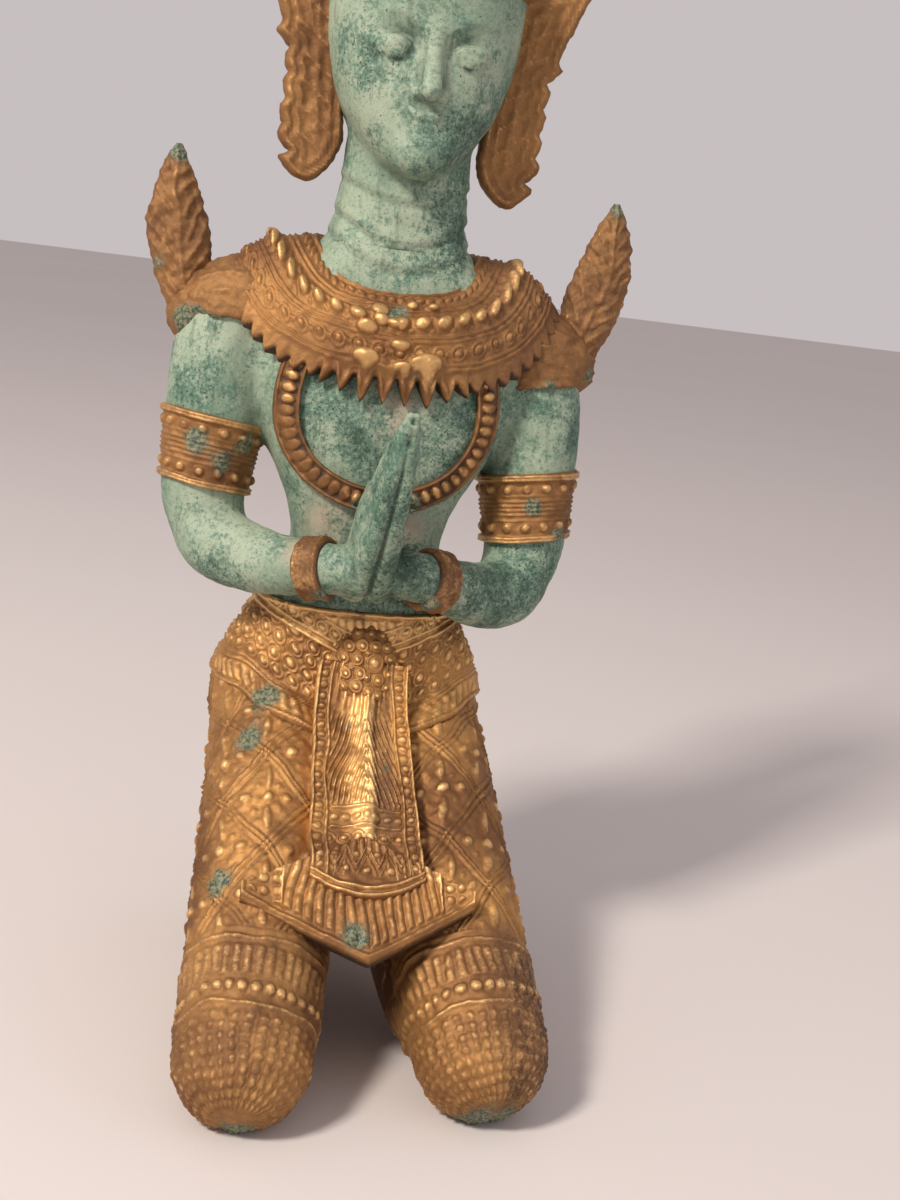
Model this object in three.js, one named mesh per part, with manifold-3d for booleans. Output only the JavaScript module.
// A small cast bronze figure of a kneeling deity, hands joined in greeting.
// Millimetres, +Z up. The figure faces -Y, and its left hand is on the +X side.
// Lengths along Y are given from the neck's axis; the last lines centre the casting on its base.

import * as THREE from 'three';
import { mergeVertices } from 'three/addons/utils/BufferGeometryUtils.js';
import Module from 'manifold-3d';

const wasm = await Module();
wasm.setup();

// Overall sizes
const SPIRE_HEIGHT = 272;
const CHIN_HEIGHT = 155.5;
const CROWN_BAND_HEIGHT = 187;
const DEPTH_SHIFT = 24.5;

// The left arm hangs a little lower than the right one
const ARM_SKEW = 2.2;

// Arms
const UPPER_ARM = { topX: 30.3, lowX: 31.2, top: 104.5, low: 91.5, topRadius: 9.1, lowRadius: 7.8 };
const ELBOW = { x: 29.8, y: -4.5, z: 82, r: 6.9 };
const WRIST = { x: 10.5, y: -20, z: 83.5, r: 4.7 };
const ARMBAND = { rim: 0.9, rimHeight: 1.4, body: 0.4 };
const BRACELET = { width: 4.6, proud: 0.8 };

// Joined hands
const PALM_BASE = { x: 3.4, y: -21.4, z: 84 };
const HAND_LENGTH = 34.6;
const HAND_LEAN = THREE.MathUtils.degToRad(29);
const HAND_TILT = { base: -1.6, tip: 0.6 };
const PALM_THICKNESS = 2.9;
const PALM_BREADTH = 6.4;

// Head and neck
const HEAD = { halfWidth: 17, halfDepth: 15.6, y: -1.2 };
const EAR_FLANGE = { bottom: 150.6, top: 196, thickness: 3.4, y: -1 };

// Collar
const COLLAR = { thickness: 1.7, teeth: 21, backSteps: 10, tooth: 2.1, frontTooth: 1.7 };

// Shoulder flames
const FLAME = { base: 123, tip: 154.3, halfWidth: 5.7, thickness: 4.4 };

// Chest chain
const CHAIN = { width: 4.8, thickness: 2 };

// Legs
const HIP = { x: 10.8, y: 2, z: 52, r: 15.2 };
const KNEE = { x: 18.9, y: -64, z: 11.3, r: 11.5 };
// The left knee is set a little further out and back than the right one
const LEFT_KNEE_SHIFT = { x: 2.6, y: 4, z: 0.1 };
// The seat is a little to the left of the neck
const SEAT_SHIFT = 0.8;
const ANKLE = { x: 14.4, y: 11.5, z: 20, r: 6.4 };
const HEEL = { x: 14.4, y: 19, z: 29, r: 5.4 };
const BALL = { x: 14.4, y: 21, z: 5.2, r: 4.8 };
const TOE_LENGTH = 9.5;
const SOLE_FLAT = 0.9;

// Dress
const BELT = { bottom: 67.3, top: 75, proud: 1.3 };
const APRON = { topHalfWidth: 7.9, halfWidth: 10.1, topShift: 0.8, thickness: 1.6, pleats: 5, border: 2.6 };
const FAN = { halfWidth: 19.9, cornerShift: -1.5, flutes: 12, thickness: 2.2 };

const v = (x, y, z) => new THREE.Vector3(x, y, z);
const mix = THREE.MathUtils.lerp;
const smooth = (from, to, value) => THREE.MathUtils.smoothstep(value, from, to);
const TURN = 2 * Math.PI;

// Gaps and slivers thinner than this are closed up where skins join
const SLIVER = 0.05;

// Mesh helpers

// Turns a geometry's faces outward and makes a solid of it.
function solid(geometry) {
  const bare = geometry.clone();
  for (const name of Object.keys(bare.attributes)) {
    if (name !== 'position') bare.deleteAttribute(name);
  }
  const merged = mergeVertices(bare, 1e-4);
  const place = merged.attributes.position;
  const corners = [v(0, 0, 0), v(0, 0, 0), v(0, 0, 0)];
  const triangles = [];
  let volume = 0;
  for (let i = 0; i < merged.index.count; i += 3) {
    const ids = [0, 1, 2].map((k) => merged.index.getX(i + k));
    if (ids[0] === ids[1] || ids[1] === ids[2] || ids[2] === ids[0]) continue;
    ids.forEach((id, k) => corners[k].fromBufferAttribute(place, id));
    volume += corners[0].dot(corners[1].clone().cross(corners[2]));
    triangles.push(ids);
  }
  if (volume < 0) triangles.forEach((ids) => ids.reverse());
  return new wasm.Manifold(new wasm.Mesh({
    numProp: 3,
    vertProperties: place.array,
    triVerts: Uint32Array.from(triangles.flat()),
  }));
}

// A skin through rings of equal counts, closed by end caps or by joining the last ring to the first.
function loft(rings, joined = false) {
  const sides = rings[0].length;
  const points = rings.flat();
  const index = [];
  const spans = joined ? rings.length : rings.length - 1;
  for (let ring = 0; ring < spans; ring++) {
    const here = ring * sides;
    const next = ((ring + 1) % rings.length) * sides;
    for (let side = 0; side < sides; side++) {
      const turn = (side + 1) % sides;
      index.push(here + side, here + turn, next + turn);
      index.push(here + side, next + turn, next + side);
    }
  }
  if (!joined) {
    for (const [start, flip] of [[0, true], [(rings.length - 1) * sides, false]]) {
      const rim = points.slice(start, start + sides);
      points.push(rim.reduce((sum, point) => sum.add(point), v(0, 0, 0)).divideScalar(sides));
      for (let side = 0; side < sides; side++) {
        const edge = [start + side, start + ((side + 1) % sides)];
        index.push(...(flip ? edge.reverse() : edge), points.length - 1);
      }
    }
  }
  const geometry = new THREE.BufferGeometry().setFromPoints(points);
  geometry.setIndex(index);
  return solid(geometry);
}

// An ellipse in a tilted plane; power above 2 squares it off.
function ring(centre, across, along, halfAcross, halfAlong, sides, power = 2) {
  const points = [];
  for (let side = 0; side < sides; side++) {
    const angle = (TURN * side) / sides;
    const c = Math.cos(angle);
    const s = Math.sin(angle);
    const x = Math.sign(c) * Math.abs(c) ** (2 / power) * halfAcross;
    const y = Math.sign(s) * Math.abs(s) ** (2 / power) * halfAlong;
    points.push(centre.clone().addScaledVector(across, x).addScaledVector(along, y));
  }
  return points;
}

// A round limb through stations { x, y, z, r }. Its ends are rounded off, or cut square where they are buried.
function limb(stations, sides, side = v(1, 0, 0), roundStart = true, roundEnd = true) {
  const places = stations.map((s) => v(s.x, s.y, s.z));
  const rings = [];
  places.forEach((place, i) => {
    const before = places[Math.max(i - 1, 0)];
    const after = places[Math.min(i + 1, places.length - 1)];
    const direction = after.clone().sub(before).normalize();
    const along = direction.clone().cross(side).normalize();
    const across = along.clone().cross(direction);
    const { r, flat = 1 } = stations[i];
    const at = (shift, share) =>
      ring(place.clone().addScaledVector(direction, shift * r), across, along, r * share, r * share * flat, sides);
    if (roundStart && i === 0) rings.push(at(-0.85, 0.5));
    rings.push(at(0, 1));
    if (roundEnd && i === places.length - 1) rings.push(at(0.6, 0.78), at(0.92, 0.35));
  });
  return loft(rings);
}

// A small domed boss that stands on a surface, its foot sunk a little into it.
function stud(foot, out, radius, height, sides = 4) {
  const across = Math.abs(out.z) > 0.9 ? v(1, 0, 0) : v(0, 0, 1).cross(out).normalize();
  const along = out.clone().cross(across);
  const rings = [[-0.8, 1.1], [height, 0.55]].map(([lift, share]) =>
    ring(foot.clone().addScaledVector(out, lift), across, along, radius * share, radius * share, sides));
  return loft(rings);
}

const mirrored = (body) => body.mirror([1, 0, 0]);
const both = (make) => make(1).add(mirrored(make(1)));
const unite = (parts) => parts.reduce((whole, part) => whole.add(part));

// How far an arm point sinks or rises, by how far out it is; side is +1 on the left arm
function armShift(side, x) {
  return -side * ARM_SKEW * smooth(6, 30, Math.abs(x));
}

// Body

// Cross-sections of the trunk: height, centre along Y, half width and half depth
const TRUNK_POWER = 2.2;
const TRUNK = [
  { z: 39, y: 8, w: 17, d: 12 },
  { z: 47, y: 6, w: 24.2, d: 17.2 },
  { z: 56, y: 3, w: 25.4, d: 17 },
  { z: 64, y: 0, w: 23.8, d: 14.6 },
  { z: 72, y: -1.8, w: 19.6, d: 12.4 },
  { z: 80, y: -2.6, w: 15.8, d: 10.8 },
  { z: 87, y: -3, w: 14.3, d: 10.4 },
  { z: 95, y: -3, w: 16.4, d: 11.2 },
  { z: 103, y: -3, w: 20.6, d: 12.4 },
  { z: 112, y: -2.8, w: 24.4, d: 13 },
  { z: 121, y: -1.8, w: 26.4, d: 12.4 },
  { z: 128, y: -0.6, w: 25.6, d: 10.8 },
  { z: 134, y: 0.4, w: 20.6, d: 9.6 },
  { z: 140, y: 0.6, w: 14.6, d: 9.4 },
  { z: 146, y: 0.6, w: 12.2, d: 9.6 },
  { z: 163, y: -0.6, w: 11.2, d: 9.6 },
];

function torso() {
  return loft(TRUNK.map((s) => ring(v(0, s.y, s.z), v(1, 0, 0), v(0, 1, 0), s.w, s.d, 18, TRUNK_POWER)));
}

// The trunk's skin at a width and a height: in front where facing is -1, behind where it is 1
function trunkSkin(x, z, facing) {
  const above = Math.max(TRUNK.findIndex((s) => s.z >= z), 1);
  const share = (z - TRUNK[above - 1].z) / (TRUNK[above].z - TRUNK[above - 1].z);
  const at = (key) => mix(TRUNK[above - 1][key], TRUNK[above][key], share);
  const out = Math.min(Math.abs(x) / at('w'), 0.97);
  return at('y') + facing * at('d') * (1 - out ** TRUNK_POWER) ** (1 / TRUNK_POWER);
}

function arm(side) {
  const stations = [
    { x: 15, y: 0.5, z: 128, r: 7.6 },
    { x: 26.5, y: 0.5, z: 125, r: 8.4 },
    { x: 29.8, y: 0.2, z: 117, r: 9 },
    { x: UPPER_ARM.topX, y: -0.4, z: UPPER_ARM.top, r: UPPER_ARM.topRadius },
    { x: UPPER_ARM.lowX, y: -1.8, z: UPPER_ARM.low, r: UPPER_ARM.lowRadius },
    { x: ELBOW.x + 0.2, y: -3.4, z: ELBOW.z + 3.6, r: 7 },
    { ...ELBOW, x: ELBOW.x - 2.2, y: ELBOW.y - 1.6 },
    { x: 22.5, y: -10.5, z: 81, r: 6.3 },
    { x: 16, y: -16, z: 82, r: 5.4 },
    WRIST,
    { x: 5.5, y: -22.4, z: 84.4, r: 4.4 },
  ];
  const shifted = stations.map((s) => ({ ...s, x: s.x * side, z: s.z + armShift(side, s.x) }));
  return limb(shifted, 10, v(0, 1, 0), false);
}

// The hand's own axes: up along the fingers, and out to the little finger's edge.
const HAND_UP = v(0, -Math.sin(HAND_LEAN), Math.cos(HAND_LEAN));
const HAND_OUT = v(0, -Math.cos(HAND_LEAN), -Math.sin(HAND_LEAN));

function handPoint(x, up, out) {
  const base = v(x, PALM_BASE.y, PALM_BASE.z);
  return base.addScaledVector(HAND_UP, up * HAND_LENGTH).addScaledVector(HAND_OUT, out);
}

// Both hands, leaning a little to one side as they rise
function hands() {
  const pair = both(hand).add(both(thumb));
  const lean = Math.atan2(HAND_TILT.tip - HAND_TILT.base, HAND_LENGTH * Math.cos(HAND_LEAN));
  return pair.translate([0, -PALM_BASE.y, -PALM_BASE.z])
    .rotate([0, THREE.MathUtils.radToDeg(lean), 0])
    .translate([HAND_TILT.base, PALM_BASE.y, PALM_BASE.z]);
}

// One hand, palm flat against the other: four finger ridges run up its outer side to a common point.
function hand() {
  const fingers = 4;
  const stations = [
    { up: -0.12, thick: 0.6, broad: 0.55, ridge: 0 },
    { up: 0, thick: 1.2, broad: 0.9, ridge: 0 },
    { up: 0.2, thick: 1.15, broad: 1, ridge: 0 },
    { up: 0.42, thick: 1, broad: 1, ridge: 0.5 },
    { up: 0.68, thick: 0.8, broad: 0.82, ridge: 0.8 },
    { up: 0.9, thick: 0.6, broad: 0.5, ridge: 0.6 },
    { up: 1, thick: 0.3, broad: 0.2, ridge: 0 },
  ];
  return loft(stations.map(({ up, thick, broad, ridge }) => {
    const palmFace = mix(PALM_BASE.x - 2.6, -0.2, Math.max(up, 0));
    const points = [handPoint(palmFace, up, PALM_BREADTH * broad), handPoint(palmFace, up, -PALM_BREADTH * broad)];
    for (let k = 0; k <= fingers * 2; k++) {
      const across = mix(-1, 1, k / (fingers * 2));
      const groove = k % 2 === 0 ? ridge : 0;
      const bow = PALM_THICKNESS * thick * (1.9 - 0.5 * across ** 2);
      points.push(handPoint(palmFace + bow - groove, up, PALM_BREADTH * broad * across * 0.92));
    }
    return points;
  }));
}

function thumb() {
  const stations = [[0.06, -5], [0.24, -7.4], [0.42, -6.6]].map(([up, out], k) => {
    const place = handPoint([3, 2.4, 1.6][k], up, out);
    return { x: place.x, y: place.y, z: place.z, r: [2.2, 1.8, 1.4][k] };
  });
  return limb(stations, 5, v(1, 0, 0), false);
}

function head() {
  const sides = 16;
  const face = [
    [CHIN_HEIGHT - 1.6, 0.24, 0.3, -6.6],
    [CHIN_HEIGHT, 0.4, 0.55, -5],
    [CHIN_HEIGHT + 4, 0.62, 0.78, -3],
    [CHIN_HEIGHT + 10, 0.84, 0.93, -1],
    [CHIN_HEIGHT + 18, 0.98, 1, 0],
    [CHIN_HEIGHT + 27, 1.04, 1.02, 0],
    [CHIN_HEIGHT + 36, 1.02, 1, 0.4],
    [CHIN_HEIGHT + 44, 0.8, 0.8, 0.6],
  ];
  const skull = loft(face.map(([z, wide, deep, shift]) =>
    ring(v(0, HEAD.y + shift, z), v(1, 0, 0), v(0, 1, 0), HEAD.halfWidth * wide, HEAD.halfDepth * deep, sides, 2.15)));
  const third = (CROWN_BAND_HEIGHT + 1.5 - CHIN_HEIGHT) / 3;
  const front = HEAD.y - HEAD.halfDepth;
  const nose = limb([
    { x: 0, y: front + 0.6, z: CHIN_HEIGHT + third * 2, r: 1.3 },
    { x: 0, y: front - 0.6, z: CHIN_HEIGHT + third * 1.35, r: 1.6 },
    { x: 0, y: front - 1.2, z: CHIN_HEIGHT + third * 1.1, r: 2 },
  ], 6);
  const mouth = limb([
    { x: -2.6, y: front + 1.1, z: CHIN_HEIGHT + third * 0.68, r: 1 },
    { x: 0, y: front + 0.4, z: CHIN_HEIGHT + third * 0.66, r: 1.5 },
    { x: 2.6, y: front + 1.1, z: CHIN_HEIGHT + third * 0.68, r: 1 },
  ], 6, v(0, 0, 1));
  const eye = (side) => limb([
    { x: side * 3.6, y: front + 1.5, z: CHIN_HEIGHT + third * 1.72, r: 0.9 },
    { x: side * 6.4, y: front + 1.9, z: CHIN_HEIGHT + third * 1.74, r: 1.3 },
    { x: side * 9.2, y: front + 3.4, z: CHIN_HEIGHT + third * 1.78, r: 0.9 },
  ], 6, v(0, 0, 1));
  return unite([skull, nose, mouth, both(eye)]);
}

// Crown: a banded cap, then rings that shrink into a slender spire.
function crown() {
  const rim = CROWN_BAND_HEIGHT;
  const outline = [
    [0, rim - 2],
    [16.4, rim - 2],
    [18.6, rim],
    [18.6, rim + 3.4],
    [17.2, rim + 4.4],
    [17.6, rim + 7],
    [16, rim + 8.4],
    [15.4, rim + 11.6],
    [13.2, rim + 13],
    [12.6, rim + 16],
    [10.2, rim + 17.4],
    [10, rim + 20],
    [7.8, rim + 21.4],
  ].map(([r, z]) => new THREE.Vector2(r, z));
  const spireBase = rim + 21.4;
  const spireRings = 4;
  for (let i = 0; i < spireRings; i++) {
    const share = i / spireRings;
    const radius = mix(7, 3.2, share);
    const z = mix(spireBase, spireBase + 24, share);
    outline.push(new THREE.Vector2(radius + 0.9, z + 2));
    outline.push(new THREE.Vector2(radius - 0.8, z + 5));
  }
  outline.push(new THREE.Vector2(2.6, spireBase + 27));
  outline.push(new THREE.Vector2(1.1, SPIRE_HEIGHT - 5));
  outline.push(new THREE.Vector2(1.3, SPIRE_HEIGHT - 2.4));
  outline.push(new THREE.Vector2(0, SPIRE_HEIGHT));
  const shape = new THREE.LatheGeometry(outline, 16);
  shape.rotateX(Math.PI / 2);
  shape.scale(1, 0.96, 1);
  shape.translate(0, HEAD.y + 0.4, 0);
  return solid(shape);
}

// A row of upright leaves round the crown's band, the tallest over the brow.
function crownLeaves() {
  const count = 6;
  const leaves = [];
  for (let i = 0; i < count; i++) {
    const angle = (TURN * i) / count - Math.PI / 2;
    const facing = i === 0 ? 1 : 0;
    const height = mix(6, 10, facing);
    const width = mix(3.4, 4.6, facing);
    const outward = v(Math.cos(angle), Math.sin(angle), 0);
    const across = v(-Math.sin(angle), Math.cos(angle), 0);
    const foot = v(17 * outward.x, HEAD.y + 0.4 + 16.4 * outward.y, CROWN_BAND_HEIGHT + 2.6);
    const rings = [[0, 0.75], [0.35, 1], [1, 0.1]].map(([up, wide]) =>
      ring(foot.clone().add(v(0, 0, up * height)).addScaledVector(outward, 0.6 - up * 1.4),
        across, outward, width * wide, 1.1 * wide + 0.2, 4));
    leaves.push(loft(rings));
  }
  return unite(leaves);
}

// The plate beside each ear: a tongue that curls out below and flares to a point above.
function earFlange() {
  const low = EAR_FLANGE.bottom;
  const shape = new THREE.Shape();
  shape.moveTo(12.4, low + 8);
  shape.quadraticCurveTo(13.2, low + 2.4, 18.2, low);
  shape.quadraticCurveTo(21.6, low + 0.4, 23.6, low + 4.4);
  shape.lineTo(21.8, low + 4.8);
  const scallops = 4;
  for (let i = 0; i < scallops; i++) {
    const z = low + 6.6 + i * 4.4;
    shape.quadraticCurveTo(23.9, z + 0.4, 24, z + 2.4);
    shape.lineTo(23.3, z + 3.2);
  }
  shape.lineTo(26.2, low + 25.4);
  shape.lineTo(25.2, low + 27.4);
  shape.quadraticCurveTo(27.6, low + 33, 31.4, low + 42.5);
  shape.quadraticCurveTo(25, low + 40, 22, EAR_FLANGE.top - 6);
  shape.lineTo(15, EAR_FLANGE.top - 8);
  shape.lineTo(13.4, low + 20);
  const plate = new THREE.ExtrudeGeometry(shape, {
    depth: EAR_FLANGE.thickness, bevelEnabled: false, curveSegments: 3,
  });
  plate.rotateX(Math.PI / 2);
  plate.translate(0, EAR_FLANGE.y + EAR_FLANGE.thickness / 2, 0);
  return solid(plate);
}

// Collar

// A place on the collar: angle 0 points to +X, and share runs from the neck (0) to the outer edge (1).
function collarPoint(angle, share, lift) {
  const c = Math.cos(angle);
  const s = Math.sin(angle);
  const front = smooth(0, 1, -s);
  const back = smooth(0, 1, s);
  const inner = v(14.4 * c, 0.6 + 10.4 * s, 140.4 - 7.6 * front + 0.6 * back);
  const outer = v(30.5 * c, -1.4 + (s < 0 ? 15.4 : 13.6) * s, 133 - 14.6 * front - 13 * back);
  const place = inner.lerp(outer, share);
  const out = v(c * 0.75, s, 1.05 * Math.abs(c) + 0.35).normalize();
  return place.addScaledVector(out, lift + 2.2 * Math.sin(Math.PI * share));
}

// Stepped rings from the neck outward, with a toothed edge round the front and a plain one behind.
function collar() {
  const thick = COLLAR.thickness;
  const profile = [[0, 0.7], [0.3, 0.75], [0.34, 1], [1, 0.7]];
  const sections = [];
  const angles = [];
  for (let i = 0; i < COLLAR.teeth * 2; i++) angles.push(-Math.PI * mix(1.06, -0.06, i / (COLLAR.teeth * 2 - 1)));
  for (let i = 1; i < COLLAR.backSteps; i++) angles.push(Math.PI * mix(0.06, 0.94, i / COLLAR.backSteps));
  for (const [i, angle] of angles.entries()) {
    const front = smooth(0.82, 0.98, -Math.sin(angle));
    const toothed = i < COLLAR.teeth * 2 && i % 2 === 1;
    const reach = toothed ? (COLLAR.tooth + COLLAR.frontTooth * front) / 19 : 0;
    const section = profile.map(([share, height]) =>
      collarPoint(angle, share === 1 ? 1 + reach : share, height * thick));
    section.push(collarPoint(angle, 0.94, -4.2), collarPoint(angle, 0.08, -4.2));
    sections.push(section);
  }
  return loft(sections, true);
}

// Three studs in a cluster at the middle of the collar.
function collarStuds() {
  const spots = [[-Math.PI / 2, 0.4, 2.2], [-Math.PI / 2 - 0.16, 0.66, 1.6], [-Math.PI / 2 + 0.16, 0.66, 1.6]];
  return unite(spots.map(([angle, share, r]) => {
    const low = collarPoint(angle, share, COLLAR.thickness * 0.8);
    const out = collarPoint(angle, share, 1).sub(collarPoint(angle, share, 0));
    return stud(low, out, r, 1.4, 5);
  }));
}

// An upturned flame that stands on the outside of the shoulder.
function flame() {
  const spine = new THREE.CatmullRomCurve3([
    v(33.5, 1, FLAME.base), v(37.6, 1.4, 130), v(39.6, 1.8, 138), v(40.8, 2, 146.5), v(41, 2, FLAME.tip),
  ]);
  const shares = [0.8, 0.86, 0.95, 1, 0.96, 0.78, 0.5, 0.08];
  return loft(shares.map((share, i) => {
    const t = i / (shares.length - 1);
    const centre = spine.getPoint(t);
    const thick = FLAME.thickness * mix(0.9, 0.15, t * t);
    return ring(centre, v(1, 0, 0), v(0, 1, 0), FLAME.halfWidth * share, thick, 8);
  }));
}

// The flame's foot, which laps over the shoulder and meets the collar.
function flameFoot(side) {
  const drop = armShift(side, UPPER_ARM.topX) * 0.5;
  return limb([
    { x: 16 * side, y: 0.5, z: 127.5, r: 7 },
    { x: 29 * side, y: 0.5, z: 126.4 + drop, r: 8 },
    { x: 34.4 * side, y: 1, z: 124 + drop, r: 6.4 },
  ], 10, v(0, 1, 0), false);
}

// Chest chain: a flat strap in a loop from the collar to the middle of the ribs, front and back.
function chestChain() {
  const half = [
    [17, 122], [18.4, 114], [17.6, 107], [13.6, 100.8], [7, 97.1], [0, 96],
  ];
  const path = [...half.map(([x, z]) => [-x, z]), ...half.slice(0, -1).reverse()];
  const curve = new THREE.CatmullRomCurve3(path.map(([x, z]) => v(x, 0, z)));
  const strap = (facing, steps) => {
    const rings = [];
    for (let i = 0; i <= steps; i++) {
      const at = curve.getPointAt(i / steps);
      const tangent = curve.getTangentAt(i / steps);
      const across = v(-tangent.z, 0, tangent.x);
      rings.push([[-1, -3], [-1, 0.8], [0, 1.1], [1, 0.8], [1, -3]].map(([side, up]) => {
        const spot = at.clone().addScaledVector(across, (side * CHAIN.width) / 2);
        return v(spot.x, trunkSkin(spot.x, spot.z, facing) + facing * up * CHAIN.thickness, spot.z);
      }));
    }
    return loft(rings);
  };
  return strap(-1, 16).add(strap(1, 10));
}

// Bands on the arms

// A ring round a limb between two centres { place, r }, with its profile as [share along, height over the skin].
function band(low, high, side, profile, sides) {
  const direction = high.place.clone().sub(low.place).normalize();
  const along = direction.clone().cross(side).normalize();
  const across = along.clone().cross(direction);
  return loft(profile.map(([share, height]) => {
    const radius = mix(low.r, high.r, share) + height;
    return ring(low.place.clone().lerp(high.place, share), across, along, radius, radius, sides);
  }));
}

function armband(side) {
  const drop = armShift(side, UPPER_ARM.lowX);
  const { rimHeight, rim, body } = ARMBAND;
  const edge = rimHeight / (UPPER_ARM.top - UPPER_ARM.low);
  const low = { place: v(side * UPPER_ARM.lowX, -1.8, UPPER_ARM.low + drop), r: UPPER_ARM.lowRadius };
  const high = { place: v(side * UPPER_ARM.topX, -0.4, UPPER_ARM.top + drop), r: UPPER_ARM.topRadius };
  const profile = [
    [0, -1], [0, rim], [edge, rim], [edge, body], [1 - edge, body], [1 - edge, rim], [1, rim], [1, -1],
  ];
  const parts = [band(low, high, v(0, 1, 0), profile, 12)];
  const studs = 7;
  for (const share of [0.28, 0.72]) {
    const centre = low.place.clone().lerp(high.place, share);
    for (let i = 0; i < studs; i++) {
      const angle = (TURN * (i + (share > 0.5 ? 0.5 : 0))) / studs;
      const out = v(Math.cos(angle), Math.sin(angle), 0);
      const foot = centre.clone().addScaledVector(out, mix(low.r, high.r, share));
      parts.push(stud(foot, out, 1.6, 1.1));
    }
  }
  return unite(parts);
}

function bracelet(side) {
  const centre = v(side * WRIST.x, WRIST.y, WRIST.z + armShift(side, WRIST.x));
  const half = v(side * 6, 4.2, -1.6).normalize().multiplyScalar(BRACELET.width / 2);
  const { proud } = BRACELET;
  const low = { place: centre.clone().sub(half), r: WRIST.r + 0.4 };
  const high = { place: centre.clone().add(half), r: WRIST.r + 0.4 };
  return band(low, high, v(0, 0, 1), [[0, -1], [0.15, proud], [0.85, proud], [1, -1]], 9);
}

// Legs

const kneeOf = (side) => ({
  x: side * (KNEE.x + (side > 0 ? LEFT_KNEE_SHIFT.x : 0)),
  y: KNEE.y + (side > 0 ? LEFT_KNEE_SHIFT.y : 0),
  z: KNEE.z + (side > 0 ? LEFT_KNEE_SHIFT.z : 0),
  r: KNEE.r,
});

function thighAt(side, share, extra = 0) {
  const knee = kneeOf(side);
  return {
    x: mix(side * HIP.x + SEAT_SHIFT, knee.x, share),
    y: mix(HIP.y, knee.y, share),
    z: mix(HIP.z, knee.z, share),
    r: mix(HIP.r, knee.r, share) + extra,
  };
}

// Two raised hoops run round each thigh just above the knee.
const HOOPS = [0.79, 0.93];
const BEAD_ROW = 0.87;

function thigh(side) {
  const stations = [];
  const plain = 5;
  for (let i = 0; i < plain; i++) stations.push(thighAt(side, (0.75 * i) / (plain - 1)));
  for (const share of HOOPS) {
    stations.push(thighAt(side, share - 0.013), thighAt(side, share, 0.9), thighAt(side, share + 0.013));
  }
  stations.push(thighAt(side, 1));
  return limb(stations, 14, v(1, 0, 0), false);
}

// A row of beads between the hoops, over the top and sides of the thigh.
function thighBeads(side) {
  const centre = thighAt(side, BEAD_ROW);
  const ahead = thighAt(side, 1);
  const direction = v(ahead.x - centre.x, ahead.y - centre.y, ahead.z - centre.z).normalize();
  const across = v(1, 0, 0).addScaledVector(direction, -direction.x).normalize();
  const up = across.clone().cross(direction);
  if (up.z < 0) up.negate();
  const count = 9;
  const beads = [];
  for (let i = 0; i < count; i++) {
    const angle = mix(-0.15, 1.15, i / (count - 1)) * Math.PI;
    const out = across.clone().multiplyScalar(Math.cos(angle)).addScaledVector(up, Math.sin(angle));
    beads.push(stud(v(centre.x, centre.y, centre.z).addScaledVector(out, centre.r), out, 1.6, 0.8));
  }
  return unite(beads);
}

function calf(side) {
  const knee = kneeOf(side);
  return limb([
    { ...knee, y: knee.y + 4, r: knee.r - 0.6 },
    { x: side * 18, y: -42, z: 12.4, r: 10.8 },
    { x: side * 16.6, y: -24, z: 14.6, r: 10.6 },
    { x: side * 15.4, y: -6, z: 17.4, r: 9.2 },
    { ...ANKLE, x: side * ANKLE.x },
  ], 12, v(1, 0, 0), false);
}

// An upright foot on its tucked toes: the sole faces back, and five toes point forward on the ground.
function foot() {
  const sole = limb([HEEL, { x: ANKLE.x, y: 21.6, z: 18, r: 4.5 }, BALL], 8);
  const instep = limb([ANKLE, { x: BALL.x, y: BALL.y - 2.5, z: BALL.z + 4, r: 4.4 }], 8, v(1, 0, 0), false, false);
  const toes = 5;
  const rings = [[0, 1, 2.2], [-0.7, 1, 1], [-1, 0.8, 0.6]].map(([reach, wide, tall]) => {
    const points = [];
    for (let k = 0; k <= toes * 2; k++) {
      const share = k / (toes * 2);
      const gap = k % 2 === 0 ? 0.8 : 0;
      const length = TOE_LENGTH * mix(1.1, 0.7, share) * reach;
      points.push(v(BALL.x + mix(-4.9, 4.9, share) * wide, BALL.y + length + gap, 2.6 * tall - gap * 0.6));
    }
    points.push(v(BALL.x + 4.9 * wide, BALL.y + TOE_LENGTH * 0.7 * reach, 0));
    points.push(v(BALL.x - 4.9 * wide, BALL.y + TOE_LENGTH * 1.1 * reach, 0));
    return points;
  });
  return unite([sole, instep, loft(rings)]);
}

function buttock() {
  return limb([{ x: 9.5, y: 9, z: 45, r: 15 }, { x: 10, y: 4, z: 52, r: 15 }], 10);
}

// Dress

function belt() {
  const levels = [
    [BELT.bottom, -1], [BELT.bottom + 0.8, BELT.proud], [BELT.bottom + 2.4, 0.6],
    [BELT.top - 2.4, 0.6], [BELT.top - 0.8, BELT.proud], [BELT.top, -1],
  ];
  return loft(levels.map(([z, height]) => {
    const share = (z - 64) / 8;
    const halfWidth = mix(23.4, 19, share) + height;
    const halfDepth = mix(14.6, 12.4, share) + height;
    return ring(v(0, mix(0, -1.8, share), z), v(1, 0, 0), v(0, 1, 0), halfWidth, halfDepth, 20, 2.2);
  }));
}

// A domed flower with a ring of round petals, on the front of the belt.
function rosette() {
  const centre = v(0, -15.6, 65.5);
  const petals = 8;
  const forward = v(0, -1, 0);
  const parts = [stud(centre.clone().add(v(0, 1, 0)), forward, 3.2, 3, 7)];
  for (let i = 0; i < petals; i++) {
    const angle = (TURN * i) / petals;
    const x = centre.x + 4.6 * Math.cos(angle);
    const z = centre.z + 4.6 * Math.sin(angle);
    parts.push(stud(v(x, -14 - 0.28 * (centre.z - z), z), forward, 2, 2));
  }
  return unite(parts);
}

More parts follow.
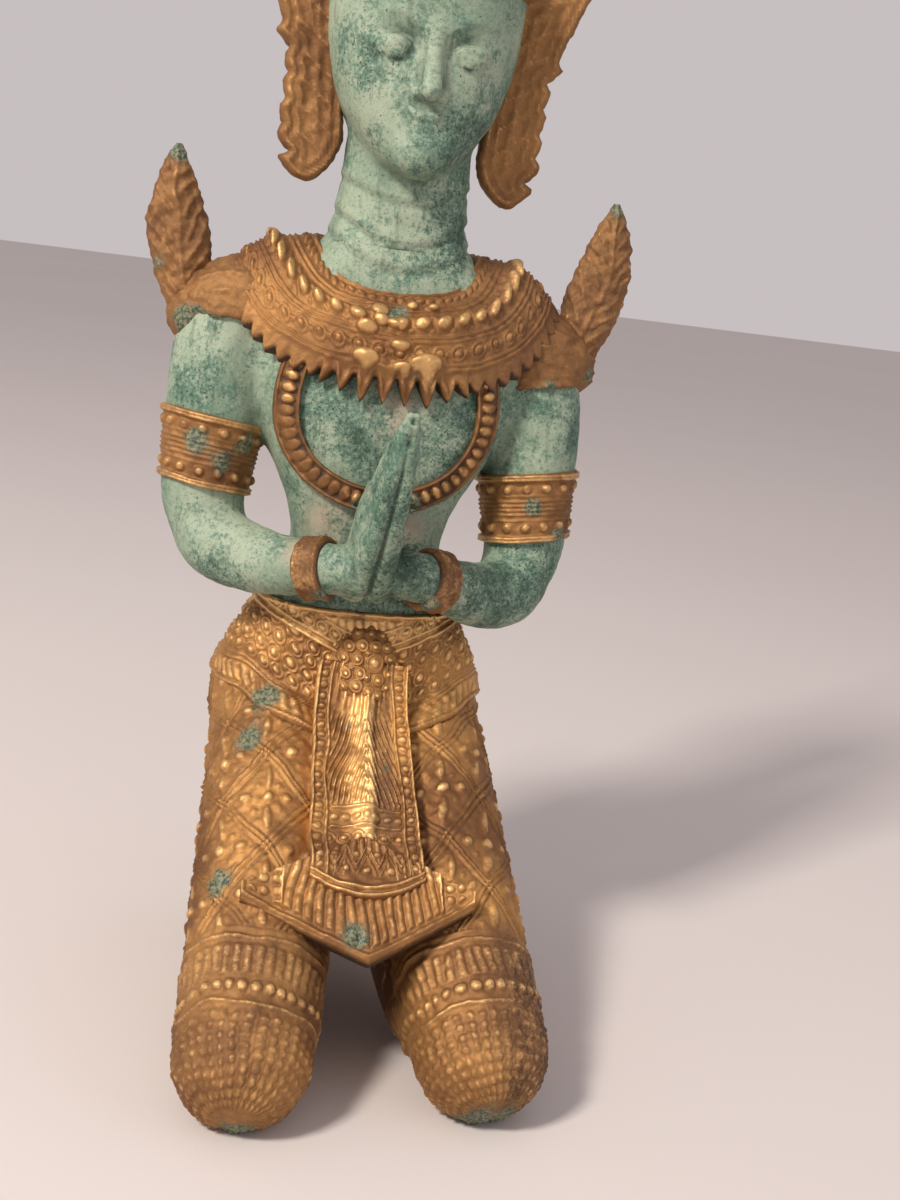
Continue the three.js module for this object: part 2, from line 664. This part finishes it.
// The lap: a curve down the belly and over the thighs, near the middle plane.
const LAP = new THREE.CatmullRomCurve3([
  v(0, -13, 73), v(0, -16, 65), v(0, -20.5, 57), v(0.2, -28.6, 50), v(0.4, -38, 43), v(0.6, -46.5, 36.6),
]);

// The hanging front panel: pleats between two raised borders.
function apron() {
  const steps = 7;
  const rings = [];
  for (let i = 0; i <= steps; i++) {
    const t = i / steps;
    const place = LAP.getPointAt(t);
    const tangent = LAP.getTangentAt(t);
    const out = v(0, tangent.z, -tangent.y).normalize();
    const thick = APRON.thickness;
    const wide = mix(APRON.topHalfWidth, APRON.halfWidth, t);
    const middle = APRON.topShift * (1 - t);
    const top = [[-wide, 0.6 * thick], [-wide + 0.5, thick], [-wide + APRON.border, thick]];
    const folds = APRON.pleats * 2;
    for (let k = 0; k <= folds; k++) {
      const x = mix(-wide + APRON.border + 0.4, wide - APRON.border - 0.4, k / folds);
      top.push([x, thick * (k % 2 === 0 ? 0.1 : 0.75)]);
    }
    top.push([wide - APRON.border, thick], [wide - 0.5, thick], [wide, 0.6 * thick]);
    top.push([wide, -4], [-wide, -4]);
    rings.push(top.map(([x, lift]) => place.clone().add(v(x + middle, 0, 0)).addScaledVector(out, lift)));
  }
  return loft(rings);
}

// The panel's end: a fluted fan, drawn out over each thigh to a point, and to one below.
function fan() {
  const top = LAP.getPointAt(0.93);
  const out = v(0, -0.58, 0.81);
  const down = v(0, -0.81, -0.58);
  const steps = FAN.flutes * 2;
  const rings = [];
  for (let k = 0; k <= steps; k++) {
    const share = (2 * k) / steps - 1;
    const far = Math.abs(share);
    const flute = k % 2 === 0 ? 0 : 0.8;
    const start = mix(-3, 7.6, far);
    const end = mix(20.4, 9.8, far ** 1.05);
    const lift = mix(1.9, 2.2, far) + flute;
    const point = (along, height) =>
      top.clone().add(v(share * FAN.halfWidth + far * FAN.cornerShift, 0, 0)).addScaledVector(down, along).addScaledVector(out, height);
    rings.push([
      point(start, lift), point(end, lift - 1.1), point(end, lift - flute - FAN.thickness - 1.1), point(start, -4.4),
    ]);
  }
  return loft(rings);
}

// Joined skins leave slivers: they are closed up, the near corners are merged, and the rest is closed up.
function withoutSlivers(body) {
  const once = body.asOriginal().simplify(SLIVER);
  return solid(toGeometry(once)).asOriginal().simplify(SLIVER);
}

function casting() {
  const parts = [
    torso(), arm(1), arm(-1), hands(), head(), crown(), crownLeaves(), both(earFlange),
    collar(), collarStuds(), both(flame), flameFoot(1), flameFoot(-1), chestChain(),
    armband(1), armband(-1), bracelet(1), bracelet(-1),
    thigh(1), thigh(-1), thighBeads(1), thighBeads(-1), calf(1), calf(-1), both(foot), both(buttock),
    belt(), rosette(), apron(), fan(),
  ];
  const whole = unite(parts);
  const ground = new THREE.BoxGeometry(200, 300, 60);
  ground.translate(0, 0, -30 + SOLE_FLAT);
  const shells = whole.subtract(solid(ground)).decompose();
  const outer = shells.reduce((best, shell) => (shell.volume() > best.volume() ? shell : best));
  return withoutSlivers(outer).translate([0, DEPTH_SHIFT, -SOLE_FLAT]);
}

function toGeometry(body) {
  const mesh = body.getMesh();
  const geometry = new THREE.BufferGeometry();
  geometry.setAttribute('position', new THREE.BufferAttribute(mesh.vertProperties, 3));
  geometry.setIndex(new THREE.BufferAttribute(mesh.triVerts, 1));
  geometry.computeVertexNormals();
  return geometry;
}

const bronze = new THREE.MeshStandardMaterial({ color: 0x8a8a5c, roughness: 0.55, metalness: 0.6 });
const statue = new THREE.Mesh(toGeometry(casting()), bronze);
statue.name = 'theppanom_statue';

const group = new THREE.Group();
group.add(statue);

export default group;
